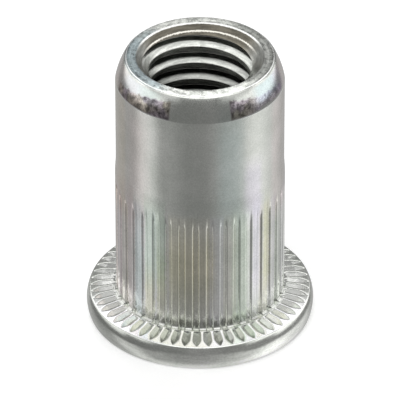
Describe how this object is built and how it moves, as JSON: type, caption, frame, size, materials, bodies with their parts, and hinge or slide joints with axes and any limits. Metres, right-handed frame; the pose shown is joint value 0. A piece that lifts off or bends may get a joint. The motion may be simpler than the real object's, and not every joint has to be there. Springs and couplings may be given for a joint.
{
  "type": "rivet nut",
  "caption": "Open-end rivet nut: flat round head serrated underneath, splined body, tapered threaded end.",
  "frame": {"origin": "centre of the head's outer face, on the axis; the nut stands on this face", "axes": "+Z along the axis, from the head towards the open threaded end; -Y is the front"},
  "size_m": [0.015, 0.015, 0.0195],
  "materials": {
    "zinc_plated_steel": "satin zinc plate with a thin iridescent passivation film"
  },
  "bodies": {
    "root": {"rivet_nut": "zinc_plated_steel"}
  },
  "joints": []
}
